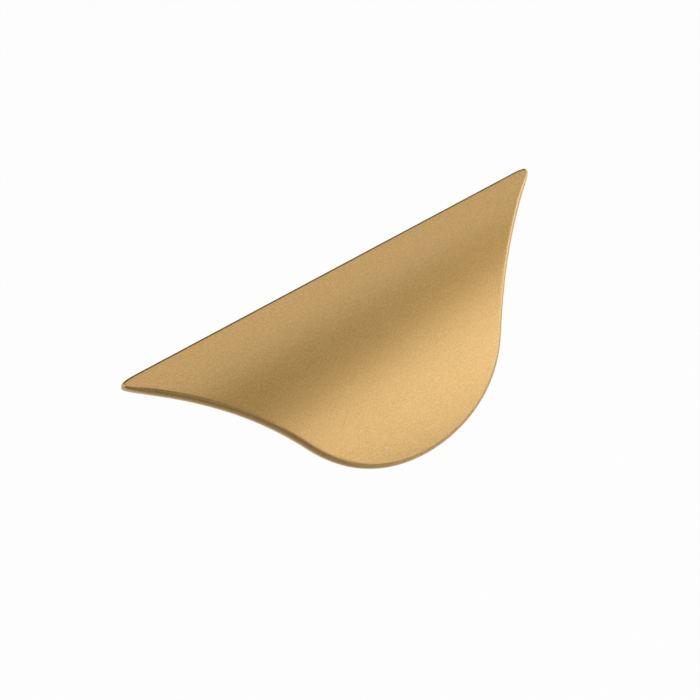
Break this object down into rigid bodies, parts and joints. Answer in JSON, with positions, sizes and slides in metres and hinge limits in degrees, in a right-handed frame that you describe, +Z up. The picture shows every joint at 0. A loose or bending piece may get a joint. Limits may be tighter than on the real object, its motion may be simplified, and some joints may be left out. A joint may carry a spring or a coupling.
{
  "type": "shell pull",
  "caption": "Leaf-shaped finger pull: a thin shell with a straight back edge, pointed tips and a round tongue that curls down, on blind screw bosses.",
  "frame": {"origin": "middle of the flat back edge, on the door's surface", "axes": "+X along the straight edge, +Y into the door, +Z up; the pull stands out towards -Y and curls down towards -Z"},
  "size_m": [0.128, 0.0331, 0.0361],
  "materials": {
    "satin_gold": "matte brushed-gold coat with a fine grain on a zinc casting"
  },
  "bodies": {
    "root": {"shell_pull": "satin_gold"}
  },
  "joints": []
}
